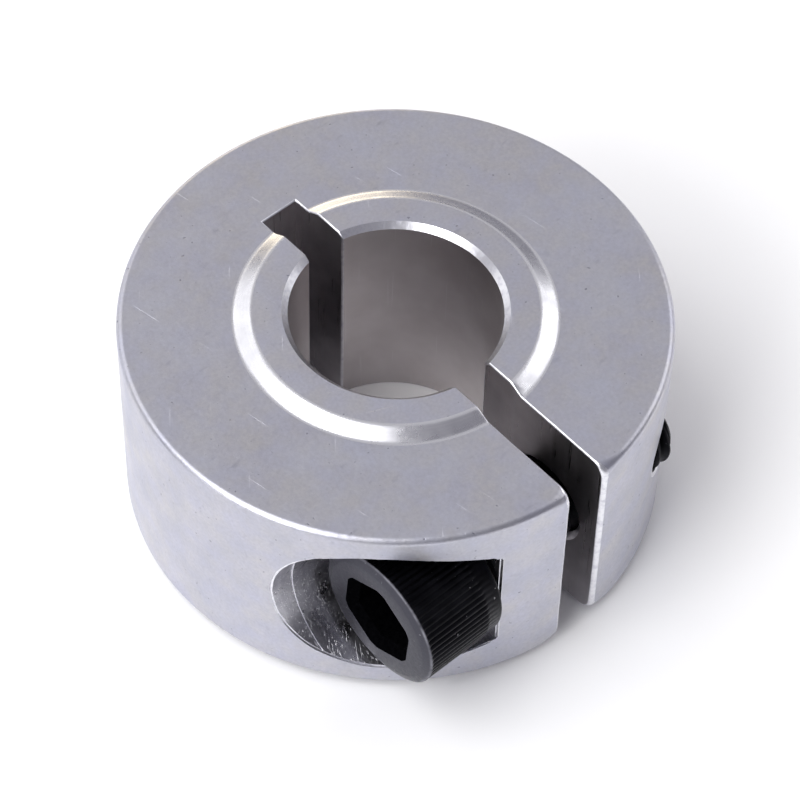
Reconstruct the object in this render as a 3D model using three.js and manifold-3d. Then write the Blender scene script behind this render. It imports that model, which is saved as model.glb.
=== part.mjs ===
// Clamp shaft collar: a one-piece split ring with a raised bearing boss on each face, closed by
// one M5 socket head cap screw. Millimetres, +Z up. The origin is the centre of the lower boss and
// the bore runs along Z. The saw cut opens towards -Y. The screw lies along X, with its head in
// the jaw on the -X side and its thread in the jaw on the +X side.

import * as THREE from 'three';
import { mergeVertices } from 'three/addons/utils/BufferGeometryUtils.js';
import Module from 'manifold-3d';

// Ring
const OUTER_RADIUS = 16;
const TOTAL_WIDTH = 15;
const RIM_ROUND = 0.35;
const BORE_RADIUS = 6.2;
const BORE_CHAMFER = 0.35;
const LOWER_BORE_CHAMFER = 0.1;

// Raised boss on each face, which meets a bearing's inner race and nothing else
const BOSS_HEIGHT = 0.5;
const BOSS_TOP_RADIUS = 8.4;
const BOSS_FOOT_RADIUS = 9.25;
const LOWER_FACE_Z = BOSS_HEIGHT;
const UPPER_FACE_Z = TOTAL_WIDTH - BOSS_HEIGHT;

// Saw cut: right through the clamping side, and part way into the hinge side
const KERF = 2.5;
const RELIEF_END = 10.4;

// Screw axis, parallel to X
const SCREW_Y = -11.5;
const SCREW_Z = TOTAL_WIDTH / 2;

// Stepped pocket for the head, its seat, and the holes for the shank and the thread
const POCKET_RADIUS = 5.3;
const POCKET_MOUTH_RADIUS = 5.5;
const POCKET_STEP_X = -13.25;
const SEAT_X = -5.5;
const CLEARANCE_HOLE_RADIUS = 2.8;
const THREAD_HOLE_RADIUS = 2.75;
const HOLE_CHAMFER = 0.15;

// Screw: the head's knurl ends in a plain band beside the bearing face
const HEAD_FRONT_X = -11.6;
const BEARING_FACE_X = -5.9;
const BAND_WIDTH = 1.0;
const HEAD_RADIUS = 4.36;
const BAND_RADIUS = 4.25;
const HEAD_EDGE = 0.3;
const HEAD_RIM = 0.5;
const SHANK_RADIUS = 2.45;
const TIP_X = 9.6;
const TIP_CHAMFER = 0.5;
const HEX_ACROSS_FLATS = 4;
const HEX_DEPTH = 3;
const HEX_LEAD_IN = 0.5;
const HEX_TURN = THREE.MathUtils.degToRad(5);

// Facets
const RING_FACETS = 96;
const HOLE_FACETS = 48;
const ROUND_STEPS = 3;

// Cutters run this far past what they cut
const OVERRUN = 2;

const wasm = await Module();
wasm.setup();

/** A closed triangle mesh as a manifold solid. */
function toSolid(geometry) {
  const bare = geometry.clone();
  bare.deleteAttribute('normal');
  bare.deleteAttribute('uv');
  const merged = mergeVertices(bare, 1e-4);
  return new wasm.Manifold(
    new wasm.Mesh({
      numProp: 3,
      vertProperties: new Float32Array(merged.attributes.position.array),
      triVerts: new Uint32Array(merged.index.array),
    }),
  );
}

/** A manifold solid as a flat-shaded triangle mesh. */
function toGeometry(solid) {
  const mesh = solid.getMesh();
  const geometry = new THREE.BufferGeometry();
  geometry.setAttribute('position', new THREE.BufferAttribute(mesh.vertProperties, 3));
  geometry.setIndex(new THREE.BufferAttribute(mesh.triVerts, 1));
  geometry.computeVertexNormals();
  return geometry;
}

/** Corner points of a quarter round, from one angle to the next, about a centre. */
function quarterRound(centreR, centreZ, radius, startAngle) {
  const points = [];
  for (let step = 0; step <= ROUND_STEPS; step += 1) {
    const angle = startAngle + (step / ROUND_STEPS) * (Math.PI / 2);
    points.push([centreR + radius * Math.cos(angle), centreZ + radius * Math.sin(angle)]);
  }
  return points;
}

/** A solid of revolution about Z. The outline is a list of [radius, height]. */
function turnedAboutZ(outline, facets) {
  const points = outline.map(([radius, height]) => new THREE.Vector2(radius, height));
  const geometry = new THREE.LatheGeometry(points, facets);
  geometry.rotateX(Math.PI / 2);
  return toSolid(geometry);
}

/** A solid of revolution about the screw axis. The outline is a list of [radius, x]. */
function turnedAboutScrewAxis(outline, facets) {
  const points = outline.map(([radius, x]) => new THREE.Vector2(radius, x));
  const geometry = new THREE.LatheGeometry(points, facets);
  geometry.rotateZ(-Math.PI / 2);
  geometry.translate(0, SCREW_Y, SCREW_Z);
  return toSolid(geometry);
}

/** The turned ring: outer skin, rounded rims, both bosses and the chamfered bore. */
function ringBlank() {
  const rimCentre = OUTER_RADIUS - RIM_ROUND;
  const outline = [
    [BORE_RADIUS + LOWER_BORE_CHAMFER, 0],
    [BOSS_TOP_RADIUS, 0],
    [BOSS_FOOT_RADIUS, LOWER_FACE_Z],
    ...quarterRound(rimCentre, LOWER_FACE_Z + RIM_ROUND, RIM_ROUND, -Math.PI / 2),
    ...quarterRound(rimCentre, UPPER_FACE_Z - RIM_ROUND, RIM_ROUND, 0),
    [BOSS_FOOT_RADIUS, UPPER_FACE_Z],
    [BOSS_TOP_RADIUS, TOTAL_WIDTH],
    [BORE_RADIUS + BORE_CHAMFER, TOTAL_WIDTH],
    [BORE_RADIUS, TOTAL_WIDTH - BORE_CHAMFER],
    [BORE_RADIUS, LOWER_BORE_CHAMFER],
  ];
  outline.push(outline[0]);
  return turnedAboutZ(outline, RING_FACETS);
}

/** The saw cut, one straight kerf across the bore and part way into the far side. */
function sawCut() {
  const front = -OUTER_RADIUS - OVERRUN;
  const height = TOTAL_WIDTH + 2 * OVERRUN;
  const geometry = new THREE.BoxGeometry(KERF, RELIEF_END - front, height);
  geometry.translate(0, (RELIEF_END + front) / 2, height / 2 - OVERRUN);
  return toSolid(geometry);
}

/** Everything drilled along the screw axis: pocket, seat, clearance hole and thread hole. */
function screwHole() {
  const slitWall = KERF / 2;
  const exitX = OUTER_RADIUS + OVERRUN;
  const outline = [
    [0, -exitX],
    [POCKET_MOUTH_RADIUS, -exitX],
    [POCKET_MOUTH_RADIUS, POCKET_STEP_X],
    [POCKET_RADIUS, POCKET_STEP_X],
    [POCKET_RADIUS, SEAT_X],
    [CLEARANCE_HOLE_RADIUS, SEAT_X],
    [CLEARANCE_HOLE_RADIUS, 0],
    [THREAD_HOLE_RADIUS + HOLE_CHAMFER, 0],
    [THREAD_HOLE_RADIUS + HOLE_CHAMFER, slitWall],
    [THREAD_HOLE_RADIUS, slitWall + HOLE_CHAMFER],
    [THREAD_HOLE_RADIUS, exitX],
    [0, exitX],
  ];
  return turnedAboutScrewAxis(outline, HOLE_FACETS);
}

function collarSolid() {
  return ringBlank().subtract(sawCut()).subtract(screwHole());
}

/** The screw's turned outline, head to tip. The thread is a plain cylinder at its crests. */
function screwBlank() {
  const bandStart = BEARING_FACE_X - BAND_WIDTH;
  const outline = [
    [0, HEAD_FRONT_X],
    [HEAD_RADIUS - HEAD_RIM, HEAD_FRONT_X],
    [HEAD_RADIUS, HEAD_FRONT_X + HEAD_EDGE],
    [HEAD_RADIUS, bandStart - (HEAD_RADIUS - BAND_RADIUS)],
    [BAND_RADIUS, bandStart],
    [BAND_RADIUS, BEARING_FACE_X - HEAD_EDGE],
    [BAND_RADIUS - HEAD_EDGE, BEARING_FACE_X],
    [SHANK_RADIUS, BEARING_FACE_X],
    [SHANK_RADIUS, TIP_X - TIP_CHAMFER],
    [SHANK_RADIUS - TIP_CHAMFER, TIP_X],
    [0, TIP_X],
  ];
  return turnedAboutScrewAxis(outline, HOLE_FACETS);
}

/** A six-sided prism or frustum on the screw axis, turned as the socket is. */
function hexPlug(frontX, frontAcrossFlats, backX, backAcrossFlats) {
  const cornerRadius = (acrossFlats) => acrossFlats / Math.sqrt(3);
  const depth = backX - frontX;
  const geometry = new THREE.CylinderGeometry(
    cornerRadius(backAcrossFlats),
    cornerRadius(frontAcrossFlats),
    depth,
    6,
  );
  geometry.rotateZ(-Math.PI / 2);
  geometry.rotateX(HEX_TURN);
  geometry.translate((frontX + backX) / 2, SCREW_Y, SCREW_Z);
  return toSolid(geometry);
}

/** The hex socket with its tapered lead-in. */
function hexSocket() {
  const mouthX = HEAD_FRONT_X - OVERRUN;
  const leadSpan = HEX_LEAD_IN + OVERRUN;
  const mouthAcrossFlats = HEX_ACROSS_FLATS + 2 * leadSpan;
  const socket = hexPlug(mouthX, HEX_ACROSS_FLATS, HEAD_FRONT_X + HEX_DEPTH, HEX_ACROSS_FLATS);
  const leadIn = hexPlug(mouthX, mouthAcrossFlats, HEAD_FRONT_X + HEX_LEAD_IN, HEX_ACROSS_FLATS);
  return socket.add(leadIn);
}

function screwSolid() {
  return screwBlank().subtract(hexSocket());
}

function namedMesh(name, solid, look) {
  const mesh = new THREE.Mesh(toGeometry(solid), new THREE.MeshStandardMaterial(look));
  mesh.name = name;
  return mesh;
}

const bareAluminium = { color: 0xc3c4cb, roughness: 0.5, metalness: 1 };
const blackOxideSteel = { color: 0x2b2b2f, roughness: 0.4, metalness: 1 };

const shaftCollar = new THREE.Group();
shaftCollar.add(namedMesh('collar', collarSolid(), bareAluminium));
shaftCollar.add(namedMesh('cap_screw', screwSolid(), blackOxideSteel));

export default shaftCollar;
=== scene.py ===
"""Clamp shaft collar: a tumbled aluminium split ring with a raised boss round the bore on each
face, and the black oxide socket head cap screw that closes it. Everything is in metres, in the
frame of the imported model: +Z up along the bore, the slit towards -Y, the screw along X with its
head on the -X side.
"""

import math

import bmesh
import bpy
import numpy as np
from mathutils import Matrix, Vector


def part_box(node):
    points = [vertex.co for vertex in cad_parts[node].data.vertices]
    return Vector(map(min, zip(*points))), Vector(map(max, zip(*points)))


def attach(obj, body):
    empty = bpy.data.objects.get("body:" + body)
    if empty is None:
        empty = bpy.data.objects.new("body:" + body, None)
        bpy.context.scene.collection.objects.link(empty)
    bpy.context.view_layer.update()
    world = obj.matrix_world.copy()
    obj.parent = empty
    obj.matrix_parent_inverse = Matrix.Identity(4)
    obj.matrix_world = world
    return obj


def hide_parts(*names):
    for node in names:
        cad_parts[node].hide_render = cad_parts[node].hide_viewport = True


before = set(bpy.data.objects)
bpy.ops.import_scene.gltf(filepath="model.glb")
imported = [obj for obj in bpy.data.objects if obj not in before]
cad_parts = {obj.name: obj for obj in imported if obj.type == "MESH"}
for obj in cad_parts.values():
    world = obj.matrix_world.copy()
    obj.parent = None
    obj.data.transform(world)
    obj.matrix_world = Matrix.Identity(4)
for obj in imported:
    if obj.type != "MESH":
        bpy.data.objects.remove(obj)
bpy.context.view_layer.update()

MM = 0.001
TURN = 2 * math.pi

# ---------------------------------------------------------------- sizes

collar_low, collar_high = (np.array(corner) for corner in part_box("collar"))
screw_low, screw_high = (np.array(corner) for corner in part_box("cap_screw"))

# Ring, with a boss on each face
OUTER_R = collar_high[0]
BOSS_TOP_Z = collar_high[2]
BASE_Z = 0.5 * MM
FACE_Z = BOSS_TOP_Z - 0.5 * MM
MIDDLE_Z = BOSS_TOP_Z / 2
RIM_ROUND = 0.4 * MM
BORE_R = 6.2 * MM
BORE_CHAMFER = 0.35 * MM
LOWER_CHAMFER = 0.1 * MM
BOSS_TOP_R = 8.4 * MM
BOSS_FOOT_R = 9.25 * MM
FLANK_BEND = 0.16 * MM

# Saw cut
HALF_KERF = 1.25 * MM
RELIEF_END = 10.25 * MM
LIP_BREAK = 0.14 * MM
CORNER_BREAK = 0.38 * MM
CORNER_ROUND = 0.95 * MM
CORNER_REACH = 0.9 * MM
LIP_STEP = 0.7 * MM

# Pocket and holes along the screw axis
SCREW_Y, SCREW_Z = (screw_low[1:] + screw_high[1:]) / 2
SEAT_X = -5.5 * MM
POCKET_R = 5.3 * MM
POCKET_MOUTH_R = 5.37 * MM
POCKET_STEP_X = -13.25 * MM
STEP_WIDTH = 0.02 * MM
MOUTH_TAPER = 0.4 * MM
POCKET_BREAK = 0.18 * MM
CLEARANCE_R = 2.8 * MM
TAPPED_R = 2.6 * MM
TAPPED_BREAK = 0.25 * MM
COUNTERSINK_R = 2.95 * MM

# Screw
HEAD_FRONT = screw_low[0]
TIP = screw_high[0]
HEAD_R = (screw_high[2] - screw_low[2]) / 2
HEAD_RIM = 0.5 * MM
HEAD_RIM_DEPTH = 0.24 * MM
RIM_SOFTNESS = 0.04 * MM
BEARING_X = -5.9 * MM
BEARING_ROUND = 0.2 * MM
BAND_WIDTH = 1.0 * MM
BAND_R = HEAD_R - 0.11 * MM
KNURL_TEETH = 72
KNURL_DEPTH = 0.1 * MM
KNURL_RUN_IN = 0.25 * MM
CREST_SHARE = 0.35
HEX_FLATS = 4.0 * MM
HEX_MOUTH_FLATS = 5.1 * MM
HEX_MOUTH_R = 2.78 * MM
HEX_LEAD_IN = 0.5 * MM
HEX_DEPTH = 3.0 * MM
DRILL_POINT = 0.8 * MM
HEX_TURN = math.radians(5)
THREAD_R = 2.5 * MM
THREAD_DEPTH = 0.46 * MM
PITCH = 0.8 * MM
TIP_CHAMFER = 0.6 * MM

OVERRUN = 2 * MM
RING_FACETS = 320
HOLE_FACETS = 96
SCREW_FACETS = 5 * KNURL_TEETH

# ---------------------------------------------------------------- grids and meshes


def grid_object(name, points, slots, wrap_rows=False, wrap_columns=False):
    """An object at the origin from a (rows, columns, 3) grid of points, closed on itself along
    either side. slots is the material number of each strip of quads between two rows. Doubles
    are merged, so that seams and poles close, and the faces are turned outwards."""
    rows, columns, _ = points.shape
    i = np.arange(rows if wrap_rows else rows - 1)
    j = np.arange(columns if wrap_columns else columns - 1)
    i, j = (a.ravel() for a in np.meshgrid(i, j, indexing="ij"))
    i2, j2 = (i + 1) % rows, (j + 1) % columns
    quads = np.stack([i * columns + j, i2 * columns + j, i2 * columns + j2, i * columns + j2], 1)
    mesh = bpy.data.meshes.new(name)
    mesh.from_pydata(points.reshape(-1, 3).tolist(), [], quads.tolist())
    mesh.polygons.foreach_set("material_index", np.asarray(slots, dtype=np.int32)[i])
    piece = bpy.data.objects.new(name, mesh)
    bpy.context.collection.objects.link(piece)
    close_up(piece)
    return piece


def close_up(piece, gap=1e-8):
    """Merges doubles, drops the faces that this flattens, and turns the rest outwards."""
    work = bmesh.new()
    work.from_mesh(piece.data)
    bmesh.ops.remove_doubles(work, verts=work.verts, dist=gap)
    bmesh.ops.dissolve_degenerate(work, edges=work.edges, dist=gap)
    if work.calc_volume(signed=True) < 0:
        bmesh.ops.reverse_faces(work, faces=work.faces)
    work.to_mesh(piece.data)
    work.free()


def quarter_round(centre_r, centre_z, radius, start, steps=6):
    """Points of a quarter circle about (centre_r, centre_z), anticlockwise from angle start."""
    angle = start + np.linspace(0, math.pi / 2, steps)
    return np.stack([centre_r + radius * np.cos(angle), centre_z + radius * np.sin(angle)], 1)


def on_screw_axis(name, rows, facets):
    """A solid round the screw axis. Each row is (x, r, slot), and x and r may vary with the turn
    a: its points are (x, r cos a, r sin a) from the axis. The first and last rows have r = 0."""
    angle = np.linspace(0, TURN, facets + 1)
    x = np.stack([row[0] + 0 * angle for row in rows])
    r = np.stack([row[1] + 0 * angle for row in rows])
    points = np.stack([x, SCREW_Y + r * np.cos(angle), SCREW_Z + r * np.sin(angle)], -1)
    return grid_object(name, points, [row[2] for row in rows])


def corner_ways(outline):
    """The way out at each corner of a closed anticlockwise outline, lengthened so that a path
    offset along it stays at an even distance from both sides."""
    sides = (outline - np.roll(outline, 1, 0), np.roll(outline, -1, 0) - outline)
    normals = [np.stack([side[:, 1], -side[:, 0]], 1) for side in sides]
    middle = sum(normal / np.linalg.norm(normal, axis=1)[:, None] for normal in normals)
    return 2 * middle / (middle**2).sum(1, keepdims=True)


def edge_rounder(name, path, gap_way, out_way, leg, slot):
    """A cutter that rounds an edge. path is the edge as a closed loop of points. gap_way runs on
    along the outer surface past the edge, out_way along the cut face past it, and leg is how far
    each is cut back. The section is a square past the edge, hollowed by a quarter circle. The
    circle is a little wider than leg, so that its ends stand clear of both surfaces and the cut
    crosses them cleanly."""
    sweep = np.radians([0, 22.5, 45, 67.5, 90])
    past, wider = 0.6, 1.05
    along_gap = np.concatenate([[past, -1], wider * np.sin(sweep) - 1, [past]])
    along_out = np.concatenate([[past, past], wider * np.cos(sweep) - 1, [-1]])
    section = along_gap[:, None] * gap_way[:, None] + along_out[:, None] * out_way[:, None]
    points = path[:, None] + leg[:, None, None] * section
    slots = np.full(len(path), slot)
    return grid_object(name, points, slots, wrap_rows=True, wrap_columns=True)


# ---------------------------------------------------------------- collar

TUMBLED, FACED, BORED, SAWN, MILLED, DRILLED, BROKEN = range(7)


def flank():
    """The upper boss's flank as (r, z) points, from foot to top: a straight slope, bent at each
    end into the face beside it. A bend is the curve start (1-t)^2 + corner 2t(1-t) + end t^2, from
    FLANK_BEND before the corner to FLANK_BEND after it."""
    way = np.array([BOSS_TOP_R - BOSS_FOOT_R, BOSS_TOP_Z - FACE_Z])
    way /= np.linalg.norm(way)
    share = np.linspace(0, 1, 4)[:, None]
    inward = np.array([-1.0, 0.0])
    bends = []
    for corner in ((BOSS_FOOT_R, FACE_Z), (BOSS_TOP_R, BOSS_TOP_Z)):
        ways = (inward, way) if corner[1] == FACE_Z else (way, inward)
        start = np.array(corner) - FLANK_BEND * ways[0]
        end = np.array(corner) + FLANK_BEND * ways[1]
        pull = 2 * share * (1 - share) * corner
        bends.append((1 - share) ** 2 * start + pull + share**2 * end)
    return np.concatenate(bends)


def ring_outline(rim_round):
    """The ring's section as (r, z) points, anticlockwise from the bore's bottom chamfer, and the
    material of the side that follows each point. The lower boss mirrors the upper one."""
    rim = OUTER_R - rim_round
    high_flank = flank()
    low_flank = high_flank[::-1] * (1, -1) + (0, BOSS_TOP_Z)
    under = [(BORE_R + LOWER_CHAMFER, 0.0)]
    low_rim = quarter_round(rim, BASE_Z + rim_round, rim_round, -math.pi / 2)
    high_rim = quarter_round(rim, FACE_Z - rim_round, rim_round, 0)
    inside = [
        (BORE_R + BORE_CHAMFER, BOSS_TOP_Z),
        (BORE_R, BOSS_TOP_Z - BORE_CHAMFER),
        (BORE_R, LOWER_CHAMFER),
    ]
    outline = np.concatenate([under, low_flank, low_rim, high_rim, high_flank, inside])
    faced = [FACED] * (len(high_flank) - 1)
    slots = [TUMBLED] + faced + [TUMBLED] * (1 + len(low_rim) + len(high_rim))
    slots += faced + [TUMBLED, BROKEN, BORED, BROKEN]
    return outline, slots


def ring_blank():
    """The outline carried round Z: its point (r, z) at turn a is (r cos a, r sin a, z). Turns are
    closer together at the slit, a = u + crowding * cos u, and there the rim's round grows by a
    bell curve of the distance from the slit wall, because tumbling wears a free corner most."""
    u = np.arange(RING_FACETS) * TURN / RING_FACETS
    crowding = 0.6
    angle = u + crowding * np.cos(u)
    x, y = OUTER_R * np.cos(angle), OUTER_R * np.sin(angle)
    away = np.where(y < 0, np.maximum(np.abs(x) - HALF_KERF, 0), OUTER_R)
    near_slit = np.exp(-((away / CORNER_REACH) ** 2))
    usual, slots = ring_outline(RIM_ROUND)
    worn, _ = ring_outline(CORNER_ROUND)
    outline = usual[:, None] + (worn - usual)[:, None] * near_slit[:, None]
    r, z = outline[..., 0], outline[..., 1]
    points = np.stack([r * np.cos(angle), r * np.sin(angle), z], -1)
    return grid_object("collar_body", points, slots, wrap_rows=True, wrap_columns=True)


def saw_cut():
    """The kerf: a square tube of four corners carried along Y, from past the rim to the relief
    slot's end, and shut at each end by a row drawn in to the middle."""
    corners = np.array([(-1, -1), (1, -1), (1, 1), (-1, 1)])
    size = np.array([HALF_KERF, MIDDLE_Z + OVERRUN])
    start = -OUTER_R - OVERRUN
    rows = []
    for y, share in ((start, 0), (start, 1), (RELIEF_END, 1), (RELIEF_END, 0)):
        x, z = (share * corners * size).T
        rows.append(np.stack([x, np.full(4, y), MIDDLE_Z + z], 1))
    return grid_object("saw_cut", np.array(rows), [SAWN] * 3, wrap_columns=True)


def pocket_mouth(turns):
    """Points round the pocket's mouth: at turn a, y and z are on the pocket wall's circle and the
    ring's skin is at x = -sqrt(R^2 - y^2). Past the pocket's step the circle is a little wider."""
    x = -np.sqrt(OUTER_R**2 - (SCREW_Y + POCKET_R * np.cos(turns)) ** 2)
    radius = np.interp(x, [POCKET_STEP_X - MOUTH_TAPER, POCKET_STEP_X], [POCKET_MOUTH_R, POCKET_R])
    y, z = SCREW_Y + radius * np.cos(turns), SCREW_Z + radius * np.sin(turns)
    return np.stack([-np.sqrt(np.maximum(OUTER_R**2 - y**2, 0)), y, z], 1)


def screw_hole():
    """All that is cut along the screw axis: the pocket and its wider mouth, the clearance hole,
    the countersink on the far slit wall, and the tapped hole, whose exit flares in a quarter
    circle up to the ring's skin at x = sqrt(R^2 - y^2)."""
    angle = np.linspace(0, TURN, HOLE_FACETS + 1)
    far = OUTER_R + OVERRUN
    rows = [
        (-far, 0, MILLED),
        (-far, POCKET_MOUTH_R, MILLED),
        (POCKET_STEP_X, POCKET_MOUTH_R, BROKEN),
        (POCKET_STEP_X + STEP_WIDTH, POCKET_R, MILLED),
        (SEAT_X, POCKET_R, MILLED),
        (SEAT_X, CLEARANCE_R, DRILLED),
        (0, CLEARANCE_R, DRILLED),
        (0, COUNTERSINK_R, DRILLED),
        (HALF_KERF, COUNTERSINK_R, BROKEN),
        (HALF_KERF + COUNTERSINK_R - TAPPED_R, TAPPED_R, DRILLED),
    ]
    for turn in np.linspace(0, math.pi / 2, 5):
        radius = TAPPED_R + TAPPED_BREAK * (1 - math.cos(turn))
        skin = np.sqrt(OUTER_R**2 - (SCREW_Y + radius * np.cos(angle)) ** 2)
        rows.append((skin - TAPPED_BREAK * (1 - math.sin(turn)), radius, BROKEN))
    rows += [(far, TAPPED_R + TAPPED_BREAK, DRILLED), (far, 0, DRILLED)]
    return on_screw_axis("screw_hole", rows, HOLE_FACETS)


def pocket_edge():
    """Rounds the pocket's mouth: round its wall as far as the seat, and back along the seat's
    upright edge. The ways past the edge, along skin and wall, are the path's own way crossed with
    the skin's and the wall's normals. At the seat's two corners they lean over the seat too."""
    seat_y = -math.sqrt(OUTER_R**2 - SEAT_X**2)
    stop = math.acos((seat_y - SCREW_Y) / POCKET_R)
    turns = np.linspace(-stop, stop, HOLE_FACETS)
    path = pocket_mouth(turns)
    along = np.gradient(path, axis=0)
    skin = path * (1, 1, 0) / OUTER_R
    wall = np.stack([0 * turns, -np.cos(turns), -np.sin(turns)], 1)
    gap_way, out_way = np.cross(skin, along), np.cross(along, wall)
    for way in (gap_way, out_way):
        way /= np.linalg.norm(way, axis=1, keepdims=True)
    seat_gap = np.array([seat_y, -SEAT_X, 0]) / OUTER_R
    for end in (0, -1):
        gap_way[end] += seat_gap
        out_way[end] = skin[end]
    leg = POCKET_BREAK * wobble(len(path), 0.3, 11)
    return edge_rounder("pocket_edge", path, gap_way, out_way, leg, BROKEN)


def with_steps(outline, step):
    """The closed outline with its long sides split into equal steps of at most that length."""
    ends = np.roll(outline, -1, 0)
    counts = np.ceil(np.linalg.norm(ends - outline, axis=1) / step).astype(int)
    side = np.repeat(np.arange(len(outline)), counts)
    share = (np.arange(len(side)) - np.repeat(np.cumsum(counts) - counts, counts)) / counts[side]
    return outline[side] + (ends - outline)[side] * share[:, None]


def wobble(count, spread, seed):
    """A closed run of random factors from 1 - spread to 1 + spread, each drawn from 0 to 1 and
    averaged with its two neighbours before it is scaled."""
    value = np.random.default_rng(seed).random(count)
    even = (value + np.roll(value, 1) + np.roll(value, -1)) / 3
    return 1 + spread * (2 * even - 1)


def saw_face_edge(outline, side, way):
    """The edge of one saw face as (path, gap_way, out_way): where the plane x = side * HALF_KERF
    meets the ring, on the -Y (way = -1) or +Y (way = 1) side of the bore."""
    reach = np.sqrt(outline[:, 0] ** 2 - HALF_KERF**2)
    out = corner_ways(np.stack([reach, outline[:, 1]], 1))
    even = np.ones(len(reach))
    path = np.stack([side * HALF_KERF * even, way * reach, outline[:, 1]], 1)
    gap_way = np.stack([-side * even, way * HALF_KERF / reach, 0 * even], 1)
    return path, gap_way, np.stack([0 * even, way * out[:, 0], out[:, 1]], 1)


def slit_edge(side):
    """Rounds the whole edge of one jaw's slit face, most along its outer corner, and unevenly."""
    outline = with_steps(ring_outline(CORNER_ROUND)[0], LIP_STEP)
    path, gap_way, out_way = saw_face_edge(outline, side, -1)
    nearness = np.clip(1 + (outline[:, 0] - OUTER_R) / CORNER_ROUND, 0, 1)
    leg = LIP_BREAK + (CORNER_BREAK - LIP_BREAK) * nearness
    leg *= wobble(len(path), 0.2, 5 + side)
    return edge_rounder("slit_edge", path, gap_way, out_way, leg, BROKEN)


def relief_edge():
    """Rounds the relief slot's edge: down one bore edge from the slot's end at the top to its end
    at the bottom, across, back up the other bore edge, and across."""
    outline, _ = ring_outline(RIM_ROUND)
    bend = len(flank())
    inner = np.arange(-3 - bend, 1 + bend)
    half = []
    for side in (1, -1):
        path, gap_way, out_way = (a[inner] for a in saw_face_edge(outline, side, 1))
        ends = np.array([(side * HALF_KERF, RELIEF_END, z) for z in (FACE_Z, BASE_Z)])
        path = np.concatenate([ends[:1], path, ends[1:]])
        gap_way = np.concatenate([[(-side, -1, 0)], gap_way, [(-side, -1, 0)]])
        out_way = np.concatenate([[(0, 0, 1)], out_way, [(0, 0, -1)]])
        half.append([a[::side] for a in (path, gap_way, out_way)])
    path, gap_way, out_way = (np.concatenate(pair) for pair in zip(*half))
    leg = np.full(len(path), LIP_BREAK)
    return edge_rounder("relief_edge", path, gap_way, out_way, leg, BROKEN)


def cut_collar(materials):
    """The ring blank with the kerf, the screw hole and the rounded edges taken out of it, one
    cutter after another. The pocket's edge comes last: it leaves fine slivers of face, which the
    cutters after it would break open."""
    blank = ring_blank()
    cutters = [saw_cut(), screw_hole()]
    cutters += [slit_edge(1), slit_edge(-1), relief_edge(), pocket_edge()]
    for piece in (blank, *cutters):
        for material in materials:
            piece.data.materials.append(material)
    for cutter in cutters:
        cut = blank.modifiers.new(cutter.name, "BOOLEAN")
        cut.operation = "DIFFERENCE"
        cut.solver = "EXACT"
        cut.use_self = True
        cut.object = cutter
    graph = bpy.context.evaluated_depsgraph_get()
    finished = bpy.data.meshes.new_from_object(blank.evaluated_get(graph))
    blank.modifiers.clear()
    blank.data = finished
    for cutter in cutters:
        bpy.data.objects.remove(cutter)
    close_up(blank, gap=1e-6)
    return blank


# ---------------------------------------------------------------- cap screw

BLACKED, SOCKET = range(2)


def hexagon(flats, angle):
    """Distance from the axis to a hexagon of that width across flats, at each turn."""
    sixth = TURN / 6
    return flats / 2 / np.cos((angle - HEX_TURN + sixth / 2) % sixth - sixth / 2)


def head_rows(angle):
    """Rows of the head from the socket's bottom out and back: socket walls, lead-in up to a
    rounded hexagonal mouth, front face, bevelled rim, knurl, plain band and bearing face."""
    back_of_socket = HEAD_FRONT + HEX_DEPTH
    mouth = np.minimum(hexagon(HEX_MOUTH_FLATS, angle), HEX_MOUTH_R)
    rows = [
        (back_of_socket + DRILL_POINT, 0, SOCKET),
        (back_of_socket, hexagon(HEX_FLATS, angle), SOCKET),
        (HEAD_FRONT + HEX_LEAD_IN, hexagon(HEX_FLATS, angle), SOCKET),
        (HEAD_FRONT + 0.06 * MM, mouth - 0.04 * MM, SOCKET),
        (HEAD_FRONT, mouth, BLACKED),
        (HEAD_FRONT, HEAD_R - HEAD_RIM - 0.1 * MM, BLACKED),
        (HEAD_FRONT + 0.03 * MM, HEAD_R - HEAD_RIM, BLACKED),
        (HEAD_FRONT + HEAD_RIM_DEPTH - RIM_SOFTNESS, HEAD_R - 1.5 * RIM_SOFTNESS, BLACKED),
    ]
    tooth = (angle * KNURL_TEETH / TURN) % 1
    ridge = (1 + CREST_SHARE) * (1 - np.abs(2 * tooth - 1))
    groove = KNURL_DEPTH * (1 - np.clip(ridge, 0, 1))
    knurl_start = HEAD_FRONT + HEAD_RIM_DEPTH
    knurl_end = BEARING_X - BAND_WIDTH - KNURL_RUN_IN
    for x, share in ((knurl_start, 0), (knurl_start + KNURL_RUN_IN, 1), (knurl_end, 1)):
        rows.append((x, HEAD_R - share * groove, BLACKED))
    rows.append((BEARING_X - BAND_WIDTH, BAND_R, BLACKED))
    for turn in np.linspace(0, math.pi / 2, 5):
        x = BEARING_X - BEARING_ROUND * (1 - math.sin(turn))
        rows.append((x, BAND_R - BEARING_ROUND * (1 - math.cos(turn)), BLACKED))
    return rows


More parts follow.
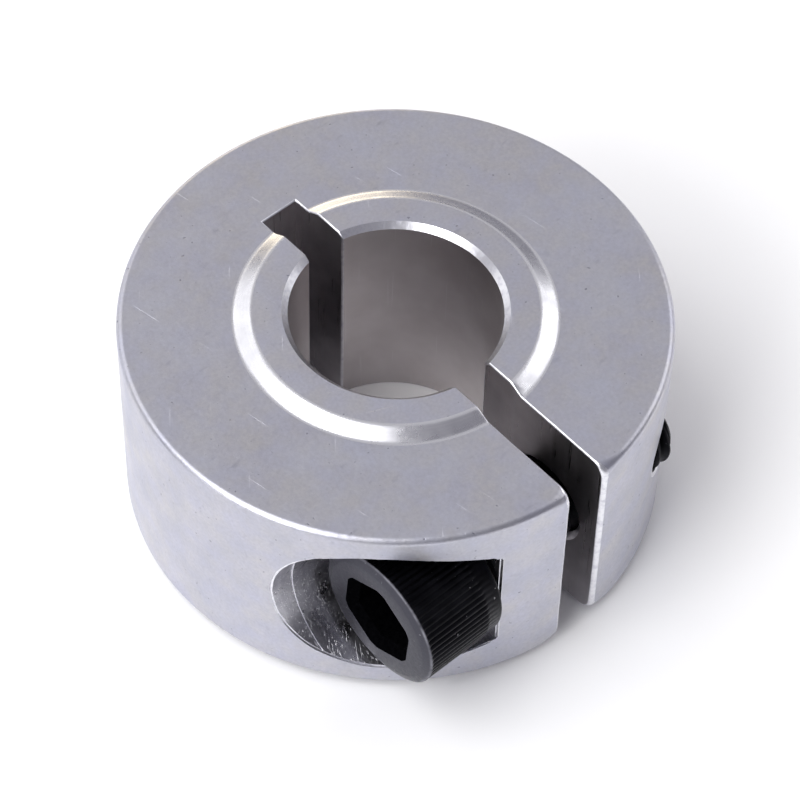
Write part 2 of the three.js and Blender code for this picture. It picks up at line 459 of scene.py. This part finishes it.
def thread_rows(angle):
    """A right-hand thread: the section of one pitch, repeated, each point of it moved along the
    axis by pitch * turn / full turn. Rows are held between the bearing face and the tip, and the
    radius stays inside the tip's chamfer cone."""
    crest, root = THREAD_R, THREAD_R - THREAD_DEPTH
    section = [(0, crest), (0.06, crest), (0.12, crest), (0.28, (crest + root) / 2), (0.43, root),
               (0.56, root - 0.03 * MM), (0.69, root), (0.84, (crest + root) / 2)]
    turns = math.ceil((TIP - BEARING_X) / PITCH) + 1
    rows = []
    for turn in range(-1, turns):
        for share, radius in section:
            x = BEARING_X + PITCH * (turn + share + angle / TURN)
            r = np.minimum(radius, THREAD_R - TIP_CHAMFER + np.maximum(TIP - x, 0))
            rows.append((np.clip(x, BEARING_X, TIP), np.where(x > BEARING_X, r, crest), BLACKED))
    return rows + [(TIP, THREAD_R - TIP_CHAMFER, BLACKED), (TIP, 0, BLACKED)]


def cut_screw(materials):
    """Head and thread as one closed grid of rows round the screw axis."""
    angle = np.linspace(0, TURN, SCREW_FACETS + 1)
    screw = on_screw_axis("cap_screw_body", head_rows(angle) + thread_rows(angle), SCREW_FACETS)
    for material in materials:
        screw.data.materials.append(material)
    return screw


def shade(piece, crease):
    """Smooth shading with creases over that angle in degrees. Big faces keep their flat normal."""
    piece.data.shade_smooth()
    piece.data.set_sharp_from_angle(angle=math.radians(crease))
    weighted = piece.modifiers.new("flat_faces_stay_flat", "WEIGHTED_NORMAL")
    weighted.mode = "FACE_AREA"
    weighted.weight = 50
    weighted.keep_sharp = True


# ---------------------------------------------------------------- finishes


def srgb(code):
    """A hex colour as linear RGBA."""
    value = np.array([int(code[i : i + 2], 16) for i in (1, 3, 5)]) / 255
    linear = np.where(value <= 0.04045, value / 12.92, ((value + 0.055) / 1.055) ** 2.4)
    return (*linear, 1.0)


def add(tree, kind, links=(), out=0, **settings):
    """A node with its settings; gives its output called or numbered out. links maps an input to a
    value or to another node's output."""
    node = tree.nodes.new("ShaderNode" + kind)
    for name, value in settings.items():
        setattr(node, name, value)
    for socket, value in dict(links).items():
        if isinstance(value, bpy.types.NodeSocket):
            tree.links.new(value, node.inputs[socket])
        else:
            node.inputs[socket].default_value = value
    return node.outputs[out]


def new_metal(name, roughness):
    """A metallic material, its node tree and shader, and Object coordinates in millimetres."""
    material = bpy.data.materials.new(name)
    material.use_nodes = True
    tree = material.node_tree
    shader = tree.nodes["Principled BSDF"]
    shader.inputs["Metallic"].default_value = 1.0
    shader.inputs["Roughness"].default_value = roughness
    metres = add(tree, "TexCoord", out="Object")
    place = add(tree, "Mapping", {"Vector": metres, "Scale": (1 / MM,) * 3})
    return material, tree, shader, place


def patches(
    tree, place, size, low, high, detail=2.0, stretch=(1, 1, 1), turn=(0, 0, 0), shift=0.0
):
    """A pattern of patches about size mm across, from 0 between them to 1 inside. They cover more
    as low and high drop, and their edges are sharper as the two close up. The pattern is turned
    by degrees, then drawn out along the axes by stretch."""
    turned = {"Vector": place, "Rotation": tuple(math.radians(t) for t in turn)}
    turned = add(tree, "Mapping", turned)
    scale = tuple(1 / (size * s) for s in stretch)
    sized = {"Vector": turned, "Scale": scale, "Location": (shift, 0, shift)}
    sized = add(tree, "Mapping", sized)
    fractal = {"Vector": sized, "Scale": 1.0, "Detail": detail, "Roughness": 0.55}
    cloud = add(tree, "TexNoise", fractal)
    return add(tree, "MapRange", {"Value": cloud, "From Min": low, "From Max": high})


def tool_lines(tree, distance, spacing, low, high, detail):
    """Ridges a tool leaves: patches that change with one distance only, so that they are lines."""
    line = add(tree, "CombineXYZ", {0: distance})
    return patches(tree, line, spacing, low, high, detail)


def from_axis(tree, place, axis):
    """Distance in mm from the bore's axis, or from the screw's."""
    flat = (1, 1, 0) if axis == "bore" else (0, 1, 1)
    centre = (0, 0, 0) if axis == "bore" else (0, SCREW_Y / MM, SCREW_Z / MM)
    moved = add(tree, "VectorMath", {0: place, 1: centre}, operation="SUBTRACT")
    moved = add(tree, "VectorMath", {0: moved, 1: flat}, operation="MULTIPLY")
    return add(tree, "VectorMath", {0: moved}, out="Value", operation="LENGTH")


def stain(tree, colour, share, strength, code):
    """The colour, gone towards the hex colour by share times strength."""
    share = add(tree, "Math", {0: share, 1: strength}, operation="MULTIPLY")
    return add(tree, "Mix", {0: share, 6: colour, 7: srgb(code)}, out=2, data_type="RGBA")


def surface(tree, shader, colour, roughness, depth, *layers):
    """Joins up a shader. roughness is (pattern, from, to). layers are (pattern, weight) and their
    sum is the height, where 1 stands depth metres above 0."""
    tree.links.new(colour, shader.inputs["Base Color"])
    pattern, smooth, rough = roughness
    spread = {"Value": pattern, "To Min": smooth, "To Max": rough}
    tree.links.new(add(tree, "MapRange", spread), shader.inputs["Roughness"])
    height = 0.0
    for pattern, weight in layers:
        sum_so_far = {0: pattern, 1: weight, 2: height}
        height = add(tree, "Math", sum_so_far, operation="MULTIPLY_ADD")
    bump = add(tree, "Bump", {"Height": height, "Distance": depth, "Strength": 1.0})
    tree.links.new(bump, shader.inputs["Normal"])


def tumbled_aluminium():
    """Aluminium tumbled with stones: a satin skin, cloudy in faint blue and lavender, with fine
    grain, small dark pits and stray scratches. Grain is drawn at 0.2 mm, coarser than life, so
    that it shows."""
    material, tree, shader, place = new_metal("tumbled_aluminium", 0.4)
    cloud = patches(tree, place, 2.6, 0.3, 0.7, 3.0)
    tint = patches(tree, place, 1.7, 0.35, 0.65, shift=31.0)
    grain = patches(tree, place, 0.2, 0.3, 0.75, 3.0)
    waves = patches(tree, place, 0.9, 0.2, 0.8, shift=5.0)
    pits = patches(tree, place, 0.33, 0.735, 0.79, 1.0, shift=7.0)
    smears = patches(tree, place, 0.9, 0.66, 0.78, stretch=(1.6, 0.7, 1), shift=3.0)
    base = srgb("#c6c6d2")
    base = stain(tree, base, tint, 1.0, "#cbc9cb")
    base = stain(tree, base, cloud, 0.55, "#b6b9c7")
    base = stain(tree, base, grain, 0.45, "#a9a9b2")
    base = stain(tree, base, smears, 0.35, "#9192a0")
    base = stain(tree, base, pits, 0.65, "#6d6e7c")
    layers = [(waves, 1.0), (grain, 0.3), (pits, -0.6)]
    for turn, shift in ((25, 0.0), (-50, 11.0), (80, 23.0)):
        drawn = dict(stretch=(42, 1, 1), turn=(0, 0, turn), shift=shift)
        scratches = patches(tree, place, 0.11, 0.77, 0.83, 1.0, **drawn)
        base = stain(tree, base, scratches, 0.35, "#d8d8e0")
        layers.append((scratches, -0.6))
    surface(tree, shader, base, (cloud, 0.35, 0.45), 0.012 * MM, *layers)
    return material


def faced_aluminium():
    """The boss's flank, left bright by the lathe: it has fine rings round the bore and mirrors
    the lamps, through a light haze."""
    material, tree, shader, place = new_metal("faced_aluminium", 0.26)
    rings = tool_lines(tree, from_axis(tree, place, "bore"), 0.14, 0.35, 0.75, 3.0)
    cloud = patches(tree, place, 1.1, 0.3, 0.7, 3.0, shift=13.0)
    base = srgb("#e2e2e6")
    base = stain(tree, base, cloud, 0.4, "#b4b3ba")
    base = stain(tree, base, rings, 0.4, "#f2f2f4")
    surface(tree, shader, base, (cloud, 0.22, 0.34), 0.004 * MM, (rings, 1.0), (cloud, 0.6))
    return material


def milled_aluminium():
    """The pocket's end-milled wall and seat: half bright, ringed round the screw's axis, and
    scored by the screw head and chips in short bright curved scratches."""
    material, tree, shader, place = new_metal("milled_aluminium", 0.3)
    depth = add(tree, "SeparateXYZ", {0: place}, out="X")
    rings = tool_lines(tree, depth, 0.35, 0.3, 0.7, 4.0)
    cloud = patches(tree, place, 1.3, 0.35, 0.65, 3.0, shift=17.0)
    base = srgb("#d2d1d6")
    base = stain(tree, base, cloud, 1.0, "#aaa9b3")
    base = stain(tree, base, rings, 0.35, "#e6e6ea")
    layers = [(rings, 0.6), (cloud, 0.5)]
    for turn, shift in (((0, 20, 35), 3.0), ((30, -25, 60), 9.0), ((-20, 40, 10), 15.0)):
        drawn = dict(stretch=(1, 16, 2), turn=turn, shift=shift)
        scores = patches(tree, place, 0.08, 0.63, 0.72, 1.5, **drawn)
        base = stain(tree, base, scores, 0.7, "#f6f6f8")
        layers.append((scores, 0.8))
    surface(tree, shader, base, (cloud, 0.24, 0.4), 0.01 * MM, *layers)
    return material


def sawn_aluminium():
    """The slitting saw's walls: dull, with fine streaks the way the blade went."""
    material, tree, shader, place = new_metal("sawn_aluminium", 0.3)
    streaks = patches(tree, place, 0.28, 0.3, 0.7, 3.0, stretch=(1, 1, 26))
    cloud = patches(tree, place, 1.8, 0.35, 0.7, 3.0, shift=19.0)
    base = srgb("#c6c1c3")
    base = stain(tree, base, streaks, 1.0, "#ccc9cc")
    base = stain(tree, base, cloud, 0.5, "#a9a6aa")
    surface(tree, shader, base, (streaks, 0.26, 0.36), 0.003 * MM, (streaks, 1.0), (cloud, 1.0))
    return material


def bored_aluminium():
    """The bore: smooth and even, with rings too fine to see and a long scratch or two."""
    material, tree, shader, place = new_metal("bored_aluminium", 0.36)
    height = add(tree, "SeparateXYZ", {0: place}, out="Z")
    rings = tool_lines(tree, height, 0.22, 0.3, 0.7, 2.0)
    cloud = patches(tree, place, 2.2, 0.3, 0.7, shift=29.0)
    scratches = patches(tree, place, 0.16, 0.7, 0.78, 1.0, stretch=(1, 1, 40), shift=21.0)
    base = srgb("#bcb6b7")
    base = stain(tree, base, cloud, 1.0, "#c8c3c4")
    base = stain(tree, base, scratches, 0.4, "#d8d6d8")
    surface(tree, shader, base, (cloud, 0.33, 0.4), 0.002 * MM, (rings, 1.0), (scratches, 0.5))
    return material


def drilled_aluminium():
    """Holes left by the drill and tap: dull and ringed along their depth, with a base much darker
    than the other aluminium, painted shade for the inside of the holes.
    """
    material, tree, shader, place = new_metal("drilled_aluminium", 0.4)
    depth = add(tree, "SeparateXYZ", {0: place}, out="X")
    rings = tool_lines(tree, depth, 0.4, 0.3, 0.7, 2.0)
    # Dark grey base: painted shade for the inside of the holes.
    base = srgb("#86858a")
    base = stain(tree, base, rings, 1.0, "#a6a5aa")
    surface(tree, shader, base, (rings, 0.36, 0.46), 0.008 * MM, (rings, 1.0))
    return material


def worn_edge_and_highlight_aluminium():
    """Corners knocked bright by tumbling: smoother than the skin and nicked, and lighter, partly
    as real wear and partly as a painted highlight along the rounded edges.
    """
    material, tree, shader, place = new_metal("worn_edge_and_highlight_aluminium", 0.3)
    nicks = patches(tree, place, 0.35, 0.45, 0.75, 3.0, shift=37.0)
    # Light base: partly metal worn bright, partly a painted highlight along the rounded edges.
    base = srgb("#eeeef2")
    base = stain(tree, base, nicks, 1.0, "#cfcfd8")
    surface(tree, shader, base, (nicks, 0.28, 0.42), 0.003 * MM, (nicks, -1.0))
    return material


def black_oxide_steel():
    """Steel blackened in a hot bath: near black with a soft oily sheen, painted dark grey on the
    head's front as a painted reflection of the pale surroundings, lighter on its rim where it is
    rubbed, with dust specks and fine grain."""
    material, tree, shader, place = new_metal("black_oxide_steel", 0.4)
    patch = patches(tree, place, 1.0, 0.35, 0.7, 4.0)
    grain = patches(tree, place, 0.16, 0.3, 0.7, 3.0, shift=41.0)
    specks = patches(tree, place, 0.3, 0.755, 0.8, 1.0, shift=43.0)
    depth = add(tree, "SeparateXYZ", {0: place}, out="X")
    face_x = HEAD_FRONT / MM + 0.2
    front = {"Value": depth, "From Min": face_x + 0.12, "From Max": face_x}
    front = add(tree, "MapRange", front)
    radius = from_axis(tree, place, "screw")
    rim = {"Value": radius, "From Min": HEAD_R / MM - 0.16, "From Max": HEAD_R / MM - 0.04}
    rim = add(tree, "Math", {0: add(tree, "MapRange", rim), 1: front}, operation="MULTIPLY")
    rim = add(tree, "Math", {0: rim, 1: patch}, operation="MULTIPLY")
    base = srgb("#121215")
    base = stain(tree, base, patch, 1.0, "#1c1c20")
    # Painted reflection: the front face is coloured dark grey for the pale surroundings it
    # mirrors.
    base = stain(tree, base, front, 0.85, "#505058")
    base = stain(tree, base, rim, 0.9, "#9a9aa2")
    base = stain(tree, base, specks, 0.6, "#98989c")
    surface(tree, shader, base, (grain, 0.34, 0.48), 0.004 * MM, (patch, 1.0), (grain, 0.7))
    return material


def black_oxide_socket_painted_shade():
    """The hex socket and its lead-in: the same black, unrubbed and matt, with its shine off and
    its colour near pure black, painted shade for the dark inside of the socket.
    """
    material, tree, shader, place = new_metal("black_oxide_socket_painted_shade", 0.6)
    # No shine and a near-black base: painted shade for the inside of the socket.
    shader.inputs["Metallic"].default_value = 0.0
    shader.inputs["Specular IOR Level"].default_value = 0.0
    grain = patches(tree, place, 0.25, 0.3, 0.75, 3.0, shift=47.0)
    base = srgb("#020203")
    base = stain(tree, base, grain, 1.0, "#08080a")
    surface(tree, shader, base, (grain, 0.5, 0.7), 0.01 * MM, (grain, 1.0))
    return material


def collar_finishes():
    """In the order of the collar's material numbers."""
    return [
        tumbled_aluminium(),
        faced_aluminium(),
        bored_aluminium(),
        sawn_aluminium(),
        milled_aluminium(),
        drilled_aluminium(),
        worn_edge_and_highlight_aluminium(),
    ]


def screw_finishes():
    """In the order of the screw's material numbers."""
    return [black_oxide_steel(), black_oxide_socket_painted_shade()]


# ---------------------------------------------------------------- floor, light and camera


def compass(azimuth, elevation):
    """The way to an azimuth and elevation in degrees. Azimuth 0 is the slit's side and 90 is the
    +X side."""
    a, e = math.radians(azimuth), math.radians(elevation)
    return Vector((math.sin(a) * math.cos(e), -math.cos(a) * math.cos(e), math.sin(e)))


def studio_floor():
    """A matt sheet of white paper, wide enough to fill every view."""
    half = 1.5
    corners = [(-half, -half, 0), (half, -half, 0), (half, half, 0), (-half, half, 0)]
    mesh = bpy.data.meshes.new("floor")
    mesh.from_pydata(corners, [], [(0, 1, 2, 3)])
    floor = bpy.data.objects.new("floor", mesh)
    bpy.context.collection.objects.link(floor)
    material = bpy.data.materials.new("white_paper")
    material.use_nodes = True
    shader = material.node_tree.nodes["Principled BSDF"]
    shader.inputs["Base Color"].default_value = srgb("#ffffff")
    shader.inputs["Roughness"].default_value = 0.9
    mesh.materials.append(material)


def softbox(name, azimuth, elevation, distance, size, power, colour="#ffffff"):
    """A square area light aimed at the collar."""
    way = compass(azimuth, elevation)
    light = bpy.data.lights.new(name, "AREA")
    light.size = size
    light.energy = power
    light.color = srgb(colour)[:3]
    lamp = bpy.data.objects.new(name, light)
    lamp.location = Vector((0, 0, MIDDLE_Z)) + way * distance
    lamp.rotation_euler = way.to_track_quat("Z", "Y").to_euler()
    bpy.context.collection.objects.link(lamp)


def studio_camera():
    """A long lens from the slit's left, high up, turned a little anticlockwise."""
    azimuth, elevation, roll = -43.0, 52.38, math.radians(1.447)
    distance = 199.0 * MM
    back = compass(azimuth, elevation)
    level = compass(azimuth + 90, 0)
    upright = back.cross(level)
    right = level * math.cos(roll) + upright * math.sin(roll)
    camera = bpy.data.objects.new("camera", bpy.data.cameras.new("camera"))
    camera.data.lens = 152.3
    camera.data.sensor_width = 36
    camera.data.clip_start = 0.01
    camera.data.shift_x = 0.0073
    camera.data.shift_y = -0.0145
    turn = Matrix((right, back.cross(right), back)).transposed().to_4x4()
    camera.matrix_world = Matrix.Translation(Vector((0, 0, MIDDLE_Z)) + back * distance) @ turn
    bpy.context.collection.objects.link(camera)
    bpy.context.scene.camera = camera


def studio():
    """An even, faintly violet sky, the floor, and the lamps. The near and left lamps whiten the
    left side and the floor, the right one the far right, and the two far ones are what the top
    face and the back of the boss mirror."""
    scene = bpy.context.scene
    scene.view_settings.view_transform = "Standard"
    world = bpy.data.worlds.new("studio")
    world.use_nodes = True
    background = world.node_tree.nodes["Background"]
    background.inputs["Color"].default_value = srgb("#e8e6f4")
    background.inputs["Strength"].default_value = 0.3
    scene.world = world
    studio_floor()
    softbox("near_left_box", -106, 60, 0.6, 0.42, 1.9)
    softbox("near_low_box", -85, 33, 0.6, 0.35, 1.8)
    softbox("left_box", -165, 30, 0.6, 0.5, 0.85)
    softbox("right_box", 80, 32, 0.6, 0.42, 0.85)
    softbox("far_box", 137, 54, 0.8, 1.0, 0.95)
    softbox("low_far_box", 150, 12, 0.7, 0.3, 0.6, "#fff0d0")


studio_camera()
studio()

collar = cut_collar(collar_finishes())
shade(collar, 25)
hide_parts("collar")
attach(collar, "collar")

screw = cut_screw(screw_finishes())
shade(screw, 28)
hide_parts("cap_screw")
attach(screw, "cap_screw")
